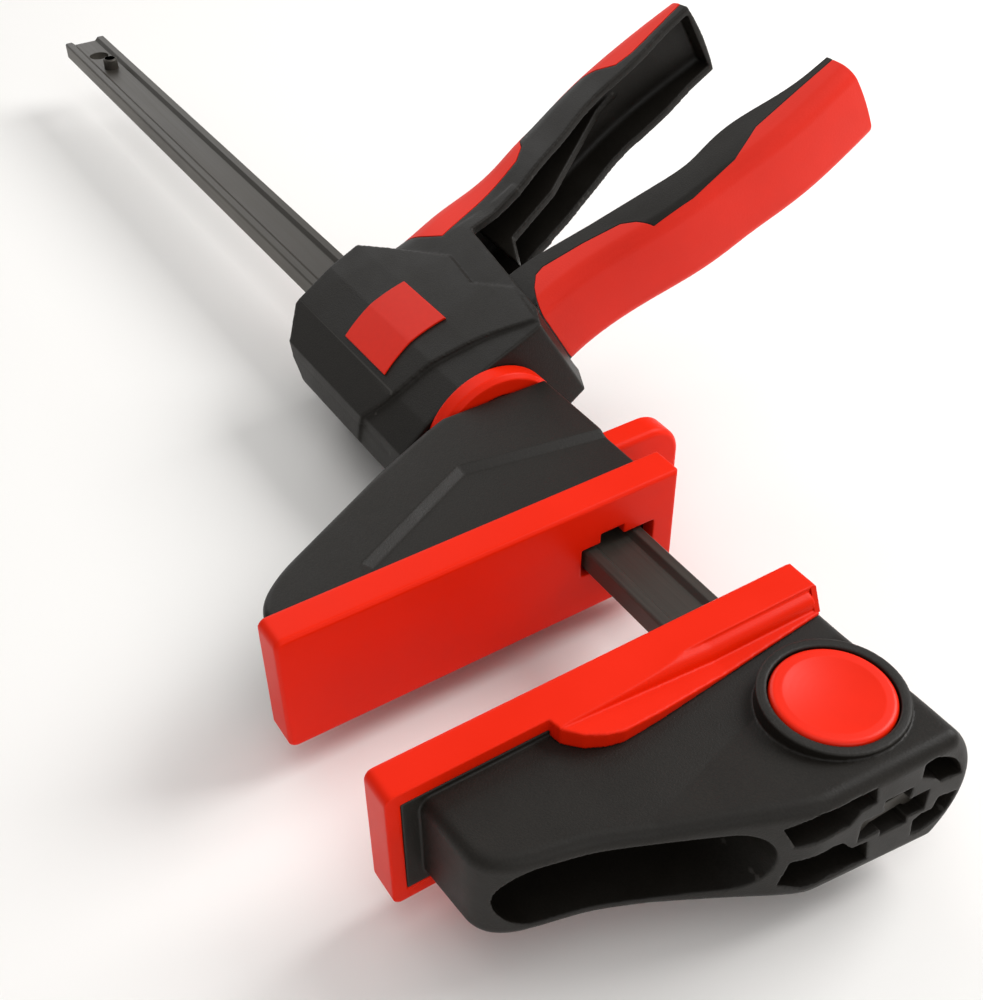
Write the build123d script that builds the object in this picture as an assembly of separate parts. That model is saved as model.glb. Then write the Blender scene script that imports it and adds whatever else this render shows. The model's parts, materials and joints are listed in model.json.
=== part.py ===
"""One-handed trigger bar clamp with a rotating pistol grip.

The clamp lies on its side.  +X runs along the bar from the fixed jaw to the tail, +Y is the
throat direction (towards the jaw tips) and +Z is up.  The origin lies on the bar's centre line
in the clamping plane of the fixed pad.  Lengths are in millimetres, angles in degrees.
"""
from build123d import *
import os

# Bar
bar_width = 17.0            # along Y
bar_thick = 6.4             # along Z, over the thick edges
bar_edge = 2.8              # width of the full-thickness bead along each edge
bar_groove = 1.3            # depth of the rolled groove in each wide face
bar_corner = 0.5
bar_head = -53.0            # end that sits in the fixed jaw
bar_tail = 422.5            # free end
tail_hole_inset = 17.5      # measured from the free end
tail_hole_r = 3.75
stop_inset = 32.5           # spring pin that keeps the carriage on the bar, from the free end
stop_r = 2.8
stop_rise = 2.8             # how far the pin stands above the bar
stop_wall = 1.0
slide_play = 0.3            # play between the bar and everything that slides on it
seat_play = 0.1             # play between the bar and the fixed jaw's socket

# Pads
opening = 38.9              # distance between the pads as drawn
pad_thick = 9.0
pad_half = 17.0             # half height along Z
pad_heel = -18.5            # pad end on the bar side
pad_toe = 89.8              # pad end at the jaw tip
pad_wall = 3.4              # wall of the pad's channel
pad_skin = 4.2              # clamping wall in front of the channel
pad_corner = 2.2
pad_edge = 0.7
flange_fit = 0.1            # play between a pad's channel and the jaw flange inside it
cove_r = 3.0                # hollow curve between the fixed pad and its side lips

# Fixed jaw
head_recess = 2.3           # the bar end lies this far inside the jaw's rear face
rear_lean = 0.08            # lean of the rear face, which lies further back at the heel
jaw_thin = 12.2             # half thickness beside the throat
jaw_side = -12.5            # heel edge at the level of the flank
heel_bulge = 7.8            # the heel swells this far beyond its edges
jaw_tip = 82.4
jaw_edge = 3.0              # rounding of the outline
facet_foot = (-28.0, 15.0)  # a point where the raised facet leaves the thin flank
facet_rise = (0.125, 0.035) # its rise towards the rear and towards the heel
slot_rim = 3.2              # wall round the pocket in the jaw's back
slot_y0, slot_y1 = 26.5, 78.5
slot_floor = 9.0            # web between the pocket and the pad
cell_depth = 6.0

# Jaw lock in the fixed jaw
lock_inset = 18.6           # axis of the red button, from the bar end
button_r = 13.1
button_thick = 4.2
button_play = 0.35
button_edge = 1.2
dish_r = 60.0               # radius of the button's hollow top
dish_depth = 0.9
rim_wall = 2.2              # raised rim round the button
rim_top = 16.5
leg_gap = 0.8               # between the bar and a leg of the button
leg_width = 2.6
leg_half = 4.0
latch_half = 5.0
latch_thick = 2.4
latch_tooth_r = 3.3
cover_thick = 2.4
lock_spring_r = 5.2
lock_spring_wall = 1.4

# Sliding jaw
slide_half = 15.5           # half thickness
slide_side = -13.5          # flank on the bar side
slide_edge = 1.8
jaw_rear = 91.0
slide_top = 87.0
panel_sink = 1.2            # depth of the triangular panel in each flank
neck_r = 14.5
neck_length = 9.0           # inside the handle
window_top = 4.3            # the sliding pad's window in front of the bar

# Brake in the sliding jaw
brake_x0, brake_x1 = 66.5, 86.0
brake_half_z = 12.6
plate_thick = 2.6
plate_gap = 0.5
plate_count = 2
plate_x = 74.0              # pivot line of the brake plates
plate_tilt = 5.0            # tilt that grips the bar
brake_window = 8.95         # half width of the window in a brake plate
brake_plate_half_z = 8.0
brake_end = 12.6            # plate end that bears in the jaw
brake_heel = -10.6          # plate end that the release takes along
slider_travel = 2.0
slider_wall = 2.4
slider_play = 0.3
slider_x0 = 58.0
slider_half_z = 9.0
tab_x0, tab_x1 = 58.3, 65.5
tab_out = -35.0             # outer edge of the finger tab
tab_half_z = 13.0
tab_corner = 9.5
tab_edge = 1.8

# Swivel
ring_gap = 0.2
ring_r = 20.2
ring_thick = 5.5
ring_chamfer = 1.2
swivel_play = 0.3
clip_thick = 1.4
clip_depth = 1.2
clip_rise = 1.6

# Handle: lengths along the bar are measured from its front face
grip_roll = 30.0            # roll of the handle about the bar as drawn
front_wall = 6.2
house_length = 74.5
rear_wall = 6.5
house_heel = 28.0           # flank opposite the grip
grip_depth = 25.5           # the grip's front edge lies this far ahead of the barrel's rear end
crown = 19.6                # half width over the flanks
cavity_half = 13.8          # half width of the hollow
bore_r = 9.7                # round hole for the bar in the rear wall
grip_half = 12.8            # half width of the grip
grip_end = 132.5            # tip of the grip, measured from the bar axis
grip_wall = 2.6
grip_back_wall = 3.6
end_r = 80.0                # radius of the domed ends of grip and trigger
soft_skin = 1.3             # thickness of the soft red inlays
rib_half = 1.3
badge_rise = 0.8

# Drive and trigger
collar_gap = 1.6            # between the neck and the drive collar
collar_length = 16.3
collar_r = 10.6
flange_r = 13.4
flange_thick = 3.1
drive_play = 0.2            # between the drive pieces and the bar
drive_plate_count = 2
drive_plate_thick = 2.8
drive_plate_gap = 0.25
spring_r = 12.8
spring_bore = 11.0
spring_gap = 0.2
brake_spring_r = 11.0
brake_spring_bore = 9.8
arm_reach = 5.9             # from the trigger pin to the collar's flange, along the bar
arm_gap = 0.4
pin_v = -20.0               # trigger pin, from the bar axis towards the grip tip
pin_r = 2.2
pin_play = 0.12
pin_eye = 4.0
arm_inner = 10.9
arm_outer = 13.5
trigger_half = 13.0
trigger_corner = 4.6
trigger_end = 136.5
lever_wall = 3.4

# Places that follow from the sizes above
half_w, half_t = bar_width / 2, bar_thick / 2
tail_hole_x = bar_tail - tail_hole_inset
stop_x = bar_tail - stop_inset
lock_x = bar_head + lock_inset
jaw_back = bar_head - head_recess
behind_jaw = jaw_back - 4   # clear of the leaning rear face
pad_x = opening
jaw_x = pad_x + pad_thick
ring_x0 = jaw_rear + ring_gap
ring_x1 = ring_x0 + ring_thick
house_x0 = ring_x1 + swivel_play
house_x1 = house_x0 + house_length
neck_end = house_x0 + neck_length
inner_x0, inner_x1 = house_x0 + front_wall, house_x1 - rear_wall
grip_x = house_length - grip_depth
collar_x0 = neck_end + collar_gap
flange_x0 = collar_x0 + collar_length
flange_x1 = flange_x0 + flange_thick
pin_x = flange_x0 - arm_reach - house_x0

os.makedirs("parts", exist_ok=True)


def part_file(shape, name):
    export_step(shape, f"parts/{name}.step")


def block(x0, x1, y0, y1, z0, z1):
    """Box between two corners."""
    return Pos((x0 + x1) / 2, (y0 + y1) / 2, (z0 + z1) / 2) * Box(x1 - x0, y1 - y0, z1 - z0)


def rod_x(r, x0, x1, y=0.0, z=0.0):
    """Cylinder along X."""
    return Pos((x0 + x1) / 2, y, z) * Rot(0, 90, 0) * Cylinder(r, x1 - x0)


def rod_z(r, z0, z1, x=0.0, y=0.0):
    """Cylinder along Z."""
    return Pos(x, y, (z0 + z1) / 2) * Cylinder(r, z1 - z0)


def slab(outline, z0, z1):
    """Closed outline in the XY plane, extruded from z0 to z1."""
    return extrude(Plane.XY.offset(z0) * make_face(outline), z1 - z0)


def along_x(outline, x0, x1):
    """Closed outline in the YZ plane, extruded from x0 to x1."""
    return extrude(Plane.YZ.offset(x0) * make_face(outline), x1 - x0)


def closed(*points):
    """Straight-sided closed outline."""
    return Polyline(*points, close=True)


def bar_window(x0, x1, play):
    """Space of the bar's full section, with play all round."""
    return block(x0, x1, -half_w - play, half_w + play, -half_t - play, half_t + play)


def both_flanks(shape):
    """The shape and its mirror image on the other flank."""
    return shape + mirror(shape, Plane.XY)


def rail_and_stop():
    groove_w = half_w - bar_edge
    floor_w, floor_t = groove_w - bar_groove, half_t - bar_groove
    section = closed(
        (-half_w, -half_t), (-groove_w, -half_t), (-floor_w, -floor_t), (floor_w, -floor_t),
        (groove_w, -half_t), (half_w, -half_t), (half_w, half_t), (groove_w, half_t),
        (floor_w, floor_t), (-floor_w, floor_t), (-groove_w, half_t), (-half_w, half_t))
    rail = along_x(section, bar_head, bar_tail)
    long_edges = rail.edges().filter_by(Axis.X)
    rail = chamfer(long_edges.filter_by(lambda e: abs(abs(e.center().Y) - half_w) < 0.01), bar_corner)
    for x, r in ((tail_hole_x, tail_hole_r), (stop_x, stop_r), (lock_x, tail_hole_r)):
        rail -= rod_z(r, -half_t, half_t, x)

    # rolled spring pin with its slit
    stop_z0, stop_z1 = -floor_t, half_t + stop_rise
    stop_pin = rod_z(stop_r, stop_z0, stop_z1, stop_x)
    stop_pin = chamfer(stop_pin.edges().group_by(Axis.Z)[-1], stop_wall / 2)
    stop_pin -= rod_z(stop_r - stop_wall, stop_z0, stop_z1, stop_x)
    slit_half = 0.4
    stop_pin -= block(stop_x, stop_x + stop_r, -slit_half, slit_half, stop_z0, stop_z1)
    return rail, stop_pin


rail, stop_pin = rail_and_stop()
part_file(rail, "rail")
part_file(stop_pin, "stop_pin")

# Fixed jaw and the flange that both jaws push into their pads
flange_half = pad_half - pad_wall - flange_fit
flange_y0, flange_y1 = pad_heel + pad_wall + flange_fit, pad_toe - pad_wall - flange_fit
well_r = button_r + button_play
rim_r = well_r + rim_wall
blank_half = pad_half + 0.5


def fixed_jaw_form():
    """Outer form: plan outline, swelling heel, thin flank and raised facet, rounded outline."""
    y_a, y_b = pad_heel - 6, 17
    heel_corner, rear_corner = (jaw_back + rear_lean * y_a, y_a), (jaw_back + rear_lean * y_b, y_b)
    plan = (Polyline((-pad_thick, y_a), heel_corner, rear_corner)
            + Spline(rear_corner, (-52.0, 23.5), (-48.3, 31.0), (-39.6, 49.2), (-35.2, 59.5), (-31.8, 72),
                     tangents=((rear_lean, 1), (0.28, 1)))
            + Spline((-31.8, 72), (-29, jaw_tip - 4.4), (-23, jaw_tip - 1), tangents=((0.28, 1), (1, 0.1)))
            + Polyline((-23, jaw_tip - 1), (-pad_thick, jaw_tip), (-pad_thick, y_a)))
    form = slab(plan, -blank_half, blank_half)
    heel = (Polyline((jaw_side, -blank_half), (pad_toe, -blank_half), (pad_toe, blank_half),
                     (jaw_side, blank_half))
            + ThreePointArc((jaw_side, blank_half), (jaw_side - heel_bulge, 0), (jaw_side, -blank_half)))
    form &= along_x(heel, behind_jaw, 0)
    raised = form
    far = 4 * pad_toe
    for z_sign in (1, -1):
        facet = Plane(origin=(*facet_foot, z_sign * jaw_thin), z_dir=(*facet_rise, z_sign)).location
        raised &= facet * Pos(0, 0, -far / 4) * Box(far, far, far / 2)
    form = (form & block(behind_jaw, 0, y_a, pad_toe, -jaw_thin, jaw_thin)) + raised
    flank_edges = [e for f in form.faces() if abs(f.normal_at().Z) > 0.9 for e in f.edges()]
    outline = [e for e in flank_edges
               if e.center().X < -pad_thick - 0.1 and sum(e.is_same(k) for k in flank_edges) == 1]
    outline += [e for e in form.edges()
                if e.center().X < jaw_back and e.center().Y < jaw_side and e.length > jaw_thin]
    return fillet(outline, jaw_edge)


def rear_cells():
    """Ribbed cells in the rear face, round the end of the bar."""
    x0, x1 = behind_jaw, jaw_back + cell_depth
    deep = jaw_back + 2 * cell_depth
    cells = along_x(closed((6.8, 12.9), (6.0, 7.9), (9.6, 7.2), (12.0, 4.2), (23.5, 3.0), (26.5, 9.4),
                           (20, 12.6)), x0, deep)
    cells += along_x(closed((5.6, -4.9), (4.5, -11.6), (20.5, -11.4), (25.6, -9.0), (24, -1.6), (15.2, -0.4),
                            (12.5, -1.0), (10.7, -3.4), (9.6, -4.6)), x0, deep)
    cells += along_x(Polyline((-7.4, 13.6), (-4.9, 13.0), (-5.2, 8.8), (-9.2, 6.2), (-11.2, 4.0), (-16.7, 3.6))
                     + ThreePointArc((-16.7, 3.6), (-13.5, 9.7), (-7.4, 13.6)), x0, x1)
    cells += along_x(Polyline((-17.0, -2.2), (-11.9, -1.4), (-11.0, -4.7), (-8.3, -4.6), (-6.2, -5.6),
                              (-6.8, -10.9))
                     + ThreePointArc((-6.8, -10.9), (-14.2, -9.0), (-17.0, -2.2)), x0, x1)
    # notches beside the bar's socket
    cells += block(x0, x1, -3.4, 3.6, half_t + 1.4, half_t + 3.7)
    cells += block(x0, x1, -4.2, 2.6, -half_t - 1.8, -half_t)
    return cells


jaw_form = fixed_jaw_form()
pocket_half = jaw_thin - slot_rim
pocket = extrude(Plane.YZ.offset(-pad_thick - slot_floor) * Pos((slot_y0 + slot_y1) / 2, 0)
                 * SlotOverall(slot_y1 - slot_y0, 2 * pocket_half), jaw_back)
fixed_jaw = jaw_form + rod_z(rim_r, -rim_top, rim_top, lock_x)
fixed_jaw += block(-pad_thick, -pad_skin - flange_fit, flange_y0, flange_y1, -flange_half, flange_half)
fixed_jaw -= pocket
fixed_jaw -= rear_cells()
fixed_jaw -= bar_window(behind_jaw, 0, seat_play)
pin_way = stop_r + 0.4
fixed_jaw -= block(behind_jaw, lock_x, -pin_way, pin_way, 0, half_t + stop_rise + 0.5)
fixed_jaw -= rod_z(well_r, -rim_top, rim_top, lock_x)
part_file(fixed_jaw, "fixed_jaw")

# Pads
channel_half = pad_half - pad_wall


def pad(x_face, x_back):
    """Cap with a channel in its back; x_face is the clamping plane."""
    inward = 1 if x_back > x_face else -1
    cap = block(min(x_face, x_back), max(x_face, x_back), pad_heel, pad_toe, -pad_half, pad_half)
    toe_edges = cap.edges().filter_by(Axis.X).filter_by(lambda e: e.center().Y > 0)
    cap = fillet(toe_edges, pad_corner)
    cap = chamfer(cap.edges().filter_by(lambda e: abs(e.center().X - x_face) < 0.01), pad_edge)
    x_a, x_b = x_face + inward * pad_skin, x_back + inward * 0.01
    cap -= block(min(x_a, x_b), max(x_a, x_b), pad_heel + pad_wall, pad_toe - pad_wall,
                 -channel_half, channel_half)
    return cap


def side_lip():
    """Tongue on the flank of the fixed jaw, which grows thicker towards the jaw tip."""
    lip = slab(closed((-pad_thick, pad_heel + 2), (-13.3, pad_heel + 2), (-18.3, 32), (-18.8, 40.7),
                      (-17.9, 44.4), (-15.7, 48.6), (-12.2, 51.8), (-pad_thick, 52.4)), jaw_thin, pad_half)
    hollows = []
    for y, floor in ((pad_heel - 5, 13.1), (12, 13.3), (60, 17.6)):
        top = pad_half + 4
        section = (Polyline((-pad_thick, floor + cove_r), (-pad_thick, top), (-30, top), (-30, floor),
                            (-pad_thick - cove_r, floor))
                   + RadiusArc((-pad_thick - cove_r, floor), (-pad_thick, floor + cove_r), cove_r))
        hollows.append(Plane(origin=(0, y, 0), x_dir=(1, 0, 0), z_dir=(0, -1, 0)) * make_face(section))
    return lip - loft(hollows, ruled=True)


fixed_pad = pad(0, -pad_thick) + both_flanks(side_lip())
fixed_pad -= bar_window(-pad_thick - 1, 1, slide_play)
part_file(fixed_pad, "fixed_pad")

sliding_pad = pad(pad_x, jaw_x)
sliding_pad -= block(pad_x - 1, jaw_x + 1, -11.8, 9.9, -window_top, window_top)
sliding_pad -= block(pad_x - 1, jaw_x + 1, -2.6, 4.4, 0, 7.1)
part_file(sliding_pad, "sliding_pad")

# Jaw lock: a dished button whose legs pass the bar and carry the latch below it
button_top = rim_top + 0.1
lock_button = rod_z(button_r, button_top - button_thick, button_top, lock_x)
lock_button = fillet(lock_button.edges().group_by(Axis.Z)[-1], button_edge)
lock_button -= Pos(lock_x, 0, button_top - dish_depth + dish_r) * Sphere(dish_r)
latch_top = -half_t - slide_play
leg_inner = half_w + leg_gap
for y_a in (leg_inner, -leg_inner - leg_width):
    lock_button += block(lock_x - leg_half, lock_x + leg_half, y_a, y_a + leg_width,
                         latch_top, button_top - button_thick)
part_file(lock_button, "lock_button")

latch_half_y = leg_inner + leg_width
lock_latch = block(lock_x - latch_half, lock_x + latch_half, -latch_half_y, latch_half_y,
                   latch_top - latch_thick, latch_top)
lock_latch += rod_z(latch_tooth_r, latch_top, half_t - bar_groove - button_edge, lock_x)
part_file(lock_latch, "lock_latch")

cover_edge = 0.6
cover_bottom = -rim_top + cover_edge
lock_cover = rod_z(well_r - 0.05, cover_bottom, cover_bottom + cover_thick, lock_x)
lock_cover = fillet(lock_cover.edges().group_by(Axis.Z)[0], cover_edge)
part_file(lock_cover, "lock_cover")

spring_z0, spring_z1 = cover_bottom + cover_thick, latch_top - latch_thick
lock_spring = rod_z(lock_spring_r, spring_z0, spring_z1, lock_x)
lock_spring -= rod_z(lock_spring_r - lock_spring_wall, spring_z0, spring_z1, lock_x)
part_file(lock_spring, "lock_spring")

# Sliding jaw with its pad flange, sunk flank panels and neck
slide_plan = (Polyline((jaw_x, slide_side), (jaw_rear, slide_side), (jaw_rear, 18),
                       (jaw_rear - 2.5, 24.5), (jaw_rear - 10.5, slide_top - 45),
                       (jaw_rear - 27.5, slide_top - 13))
              + Spline((jaw_rear - 27.5, slide_top - 13), (jaw_rear - 32.5, slide_top - 5.5), (jaw_x + 3.1, slide_top),
                       tangents=((-0.53, 1), (-1, 0.3)))
              + Polyline((jaw_x + 3.1, slide_top), (jaw_x, slide_top), (jaw_x, slide_side)))
sliding_jaw = slab(slide_plan, -slide_half, slide_half)
sliding_jaw = fillet(sliding_jaw.edges().filter_by(
    lambda e: abs(abs(e.center().Z) - slide_half) < 0.01 and e.center().X > jaw_x + 1
    and e.center().Y > slide_side + 0.5), slide_edge)


def flank_panel():
    """Triangular sink with sloping walls, between the two ridges of a flank and the pad."""
    floor, mouth = slide_half - panel_sink, slide_half + panel_sink
    x0, y0 = jaw_x - 4, slide_side - 11
    inner = closed((x0, y0), (jaw_rear - 31, y0), (jaw_rear - 22.4, 24.6), (jaw_rear - 40, 59.5), (x0, 60.5))
    outer = closed((x0, y0), (jaw_rear - 26, y0), (jaw_rear - 16.8, 25.6), (jaw_rear - 35.8, 63.5), (x0, 70))
    return loft([Plane.XY.offset(floor) * make_face(inner), Plane.XY.offset(mouth) * make_face(outer)],
                ruled=True)


sliding_jaw -= both_flanks(flank_panel())
sliding_jaw += block(jaw_x - pad_thick + pad_skin + flange_fit, jaw_x, flange_y0, flange_y1,
                     -flange_half, flange_half)
sliding_jaw += rod_x(neck_r, jaw_rear - 1, neck_end)
clip_x = inner_x0 + swivel_play
clip_r = neck_r + clip_rise
clip_band = rod_x(clip_r, clip_x, clip_x + clip_thick)
clip_band -= rod_x(neck_r - clip_depth, clip_x, clip_x + clip_thick)
sliding_jaw -= clip_band

# bar channel, brake cavity and the side slot of the release
sliding_jaw -= bar_window(jaw_x - pad_thick, neck_end + 1, slide_play)
stack = plate_count * plate_thick + (plate_count - 1) * plate_gap
abutment_x = plate_x - stack / 2 - slider_play
brake_cavity = block(brake_x0, brake_x1, slide_side + slider_wall, brake_end + 0.5, -brake_half_z, brake_half_z)
brake_cavity -= block(brake_x0, abutment_x, 10, brake_end + 1, -brake_half_z, brake_half_z)
sliding_jaw -= brake_cavity
slot_x1 = brake_x1 + slider_travel + 2 * slider_play
sliding_jaw -= block(slider_x0, slot_x1, slide_side - 1, slide_side + slider_wall, -slider_half_z, slider_half_z)
part_file(sliding_jaw, "sliding_jaw")

# Release slider: strip in the jaw's side, finger tab outside, finger inside
slider_top = slide_side + slider_wall - slider_play
slider = block(slider_x0 + slider_play, brake_x1, slide_side - 0.9, slider_top,
               -slider_half_z + slider_play, slider_half_z - slider_play)
tab = block(tab_x0, tab_x1, tab_out, slide_side - 0.4, -tab_half_z, tab_half_z)
tab = fillet(tab.edges().filter_by(Axis.X).filter_by(lambda e: e.center().Y < tab_out + 1), tab_corner)
tab = fillet(tab.edges().filter_by(lambda e: e.center().X < tab_x0 + 0.1 and e.center().Y < slide_side - 0.6),
             tab_edge)
slider += tab
finger_x1 = plate_x - stack / 2 - slider_travel - slider_play
slider += block(finger_x1 - 1.8, finger_x1, slider_top - 0.2, brake_heel + 1.2,
                -brake_plate_half_z, brake_plate_half_z)
part_file(slider, "release_slider")

# Brake plates, tilted on the bar
plates = []
pivot = Pos(plate_x, brake_end, 0)
for i in range(plate_count):
    x_a = plate_x - stack / 2 + i * (plate_thick + plate_gap)
    plate = block(x_a, x_a + plate_thick, brake_heel, brake_end, -brake_plate_half_z, brake_plate_half_z)
    plate -= block(x_a - 1, x_a + plate_thick + 1, -brake_window, brake_window, -half_t - 0.5, half_t + 0.5)
    plates.append(pivot * Rot(0, 0, -plate_tilt) * pivot.inverse() * plate)
part_file(Compound(children=plates), "brake_plates")

# Swivel: red ring in front of the handle, spring ring behind its front wall
swivel_ring = rod_x(ring_r, ring_x0, ring_x1)
swivel_ring = chamfer(swivel_ring.edges().group_by(Axis.X)[0], ring_chamfer)
swivel_ring -= rod_x(neck_r + 0.1, ring_x0, ring_x1)
part_file(swivel_ring, "swivel_ring")
retaining_ring = clip_band - block(clip_x - 1, clip_x + clip_thick + 1, 0, clip_r + 1, -4, 4)
part_file(retaining_ring, "retaining_ring")

# Handle and trigger are drawn hanging straight down: x from the handle's front face, v from the
# bar axis towards the grip tip, and the width along Z.  roll() turns them into place.


def roll(shape):
    return Rot(-grip_roll, 0, 0) * shape


def hang(*points):
    """Points given as (x from the handle's front face, distance v from the bar axis)."""
    return [(house_x0 + x, -v) for x, v in points]


def aft(*points):
    """Side-view points given with x from the grip's front edge."""
    return [(grip_x + x, v) for x, v in points]


def side_slab(half, *points):
    """Straight-sided side view, extruded symmetrically."""
    return slab(closed(*hang(*points)), -half, half)


def across(*points):
    """Half section as (v, half width), mirrored and extruded along the whole handle."""
    right = [(-v, n) for v, n in points]
    left = [(-v, -n) for v, n in reversed(points)]
    return along_x(closed(*right, *left), house_x0, house_x1)


wide = 2 * crown            # wider than the handle


def housing_form():
    """Barrel of the handle, with a front band one step lower than the panel behind it."""
    plan = side_slab(wide, (0, -house_heel), *aft((8, -house_heel), (15, -25.2)), (house_length, -14),
                     (house_length, 11.5), *aft((16, 17), (-4, 27.3)), (30, 25.2), (18, 32), (0, 28.5))
    panel = across((-house_heel, 9.5), (-23, 16.4), (-12, crown - 0.8), (1, crown), (12, crown - 0.9),
                   (28, 16.2), (33, 15.2))
    band = across((-house_heel, 8.3), (-22.4, 15.3), (-12, crown - 2.0), (1, crown - 1.2),
                  (12, crown - 2.1), (28, 15.4), (33, 14.6))
    step = hang((22, -house_heel - 1), (21.4, -24), (17.7, -16.3), (15.9, -9.2), (15.0, -2.2), (13.3, 4.2),
                (11.5, 9.8), (9.6, 15.4), (7.2, 20.6), (3.3, 27.7), (0.8, 34))
    front = slab(Polyline(step[-1], *hang((-1, 34), (-1, -house_heel - 1)), step[0]) + Spline(*step),
                 -wide, wide)
    return (plan & panel) - front + (plan & band & front)


def station(v, x_open, x_round, half, radius):
    """Section at distance v: square at x_open, rounded corners at x_round."""
    s = 1 if x_round > x_open else -1
    x_a, x_b = house_x0 + x_open, house_x0 + x_round
    x_c = x_b - s * radius
    k = radius * (1 - 0.5 ** 0.5)
    outline = (Polyline((x_c, -half), (x_a, -half), (x_a, half), (x_c, half))
               + ThreePointArc((x_c, half), (x_b - s * k, half - k), (x_b, half - radius))
               + Line((x_b, half - radius), (x_b, -half + radius))
               + ThreePointArc((x_b, -half + radius), (x_b - s * k, -half + k), (x_c, -half)))
    return Plane(origin=(0, -v, 0), x_dir=(1, 0, 0), z_dir=(0, -1, 0)) * make_face(outline)


def reach(v0, v1):
    """Everything between two distances from the bar axis."""
    return side_slab(wide, (-house_length, v0), (2 * house_length, v0), (2 * house_length, v1),
                     (-house_length, v1))


def end_dome(v, x):
    """Large ball that gives a grip its domed end; it touches distance v at x."""
    return Pos(house_x0 + x, end_r - v, 0) * Sphere(end_r)


# distance from the bar, front edge and back from the grip's front edge, half width, corner radius
grip_stations = [(10, 0, 22.4, grip_half + 4.2, 10.0), (20, 0, 20.4, grip_half + 3.5, 9.2),
                 (30, 0, 20.0, grip_half + 2.6, 8.2), (38, 0, 19.8, grip_half + 1.4, 7.0),
                 (47, 0.3, 19.0, grip_half, 5.8), (61, 2.0, 18.9, grip_half, 5.5),
                 (72, 4.0, 20.0, grip_half, 5.5), (85, 6.6, 21.2, grip_half, 5.5),
                 (95, 7.6, 21.6, grip_half, 5.5), (104.5, 7.2, 21.2, grip_half, 5.5),
                 (113, 7.5, 20.4, grip_half, 5.5), (122, 8.4, 19.2, grip_half, 5.5),
                 (135, 9.8, 17.2, grip_half, 5.5)]


def grip_form(side, back, front):
    """The grip, smaller by the given amounts on its sides, back and front."""
    return loft([station(v, grip_x + x_a + front, grip_x + x_b - back, half - side, radius - back)
                 for v, x_a, x_b, half, radius in grip_stations])


# walls beside the trigger, running down into the grip
skirt = side_slab(wide, (0, 0), (0, 28.5), (6.5, 31.5), *aft((0, 37.6), (1, 56), (4, 56), (5, 30), (12, 20)),
                  (house_length, 11.5), (house_length, 0))
skirt &= across((0, 17.0), (14, 16.6), (28, 15.6), (37, 14.6), (46, grip_half), (60, grip_half))
grip = grip_form(0, 0, 0) & (end_dome(grip_end, grip_x + 1) + reach(0, grip_end / 2))

# soft red inlay: a skin over the back of the grip
inlay_zone = side_slab(wide, *aft((30, 18.5), (22, 18.5), (5.8, 30.5), (10.5, 62.5), (13.5, 66.8),
                                  (17.4, 68.6), (19.6, 78), (18.8, 95), (16, 99.6), (11.6, 104),
                                  (10.6, 110), (12.2, 140), (30, 140)))
handle_grip = (grip - grip_form(soft_skin, soft_skin, -1)) & inlay_zone

# hollow of the handle: drive space, trigger mouth and the channel of the grip
inner_end = house_length - rear_wall
hollow = side_slab(cavity_half, (front_wall, -24.6), (inner_end, -24.6), (inner_end, 13.5),
                   *aft((16.2, 18), (15.6, 32), (1, 33), (-3, 46)), (3, 46), (front_wall, 40))
channel = grip_form(grip_wall, grip_back_wall, -30) & reach(24, grip_end - 2.4)
handle_body = housing_form() + skirt + grip - handle_grip - hollow - channel

# central rib that stiffens the grip and stops the trigger
handle_body += side_slab(rib_half, *aft((16.6, 42), (-10.5, 41.2), (0, 46.5), (3, 65), (16, 94), (18.4, 107),
                                        (18.4, 75), (16.8, 61)))

# bearing on the neck, bar hole, pin hole
handle_body -= rod_x(neck_r + swivel_play, house_x0 - 1, neck_end + 0.6)
handle_body -= rod_x(clip_r + 0.5, inner_x0, clip_x + clip_thick + 0.5)
handle_body -= rod_x(bore_r, inner_x1 - 1, house_x1 + 1)
pin_z0, pin_z1 = -crown, cavity_half + 1.6
handle_body -= rod_z(pin_r, pin_z0, pin_z1, house_x0 + pin_x, -pin_v)
part_file(roll(handle_body), "handle_body")
part_file(roll(handle_grip), "handle_grip")

trigger_pin = rod_z(pin_r, pin_z0 + 2.5, pin_z1, house_x0 + pin_x, -pin_v)
part_file(roll(trigger_pin), "trigger_pin")

# plain badge plate with bowed front and rear edges, following the crown of the flank
badge_a, badge_b = hang((23.8, 12.6), (46.8, -10.4))
bow = 1.7
badge_mid = (badge_a[1] + badge_b[1]) / 2
badge = slab(ThreePointArc(badge_a, (badge_a[0] + bow, badge_mid), (badge_a[0], badge_b[1]))
             + Line((badge_a[0], badge_b[1]), badge_b)
             + ThreePointArc(badge_b, (badge_b[0] + bow, badge_mid), (badge_b[0], badge_a[1]))
             + Line((badge_b[0], badge_a[1]), badge_a),
             crown - 3, crown + badge_rise)
badge &= across((-12, crown + badge_rise - 1.0), (1, crown + badge_rise - 0.2), (13, crown + badge_rise - 1.1))
badge -= housing_form()
part_file(roll(badge), "badge")

# Trigger; stations give distance from the bar, back edge, front
trigger_stations = [(27, 25.2, 6.9), (40, 24.6, 7.4), (54, 20.0, 4.7), (66, 16.0, 0.9), (80, 11.6, -2.9),
                    (90, 9.4, -4.3), (102, 9.7, -6.4), (109, 8.3, -7.4), (118, 5.3, -7.9), (127, 3.2, -7.8),
                    (139, 2.0, -7.0)]


def trigger_form(side, front, back):
    """The lever, smaller by the given amounts on its sides, front and back."""
    return loft([station(v, x_a - back, x_b + front, trigger_half - side, trigger_corner - front)
                 for v, x_a, x_b in trigger_stations])


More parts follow.
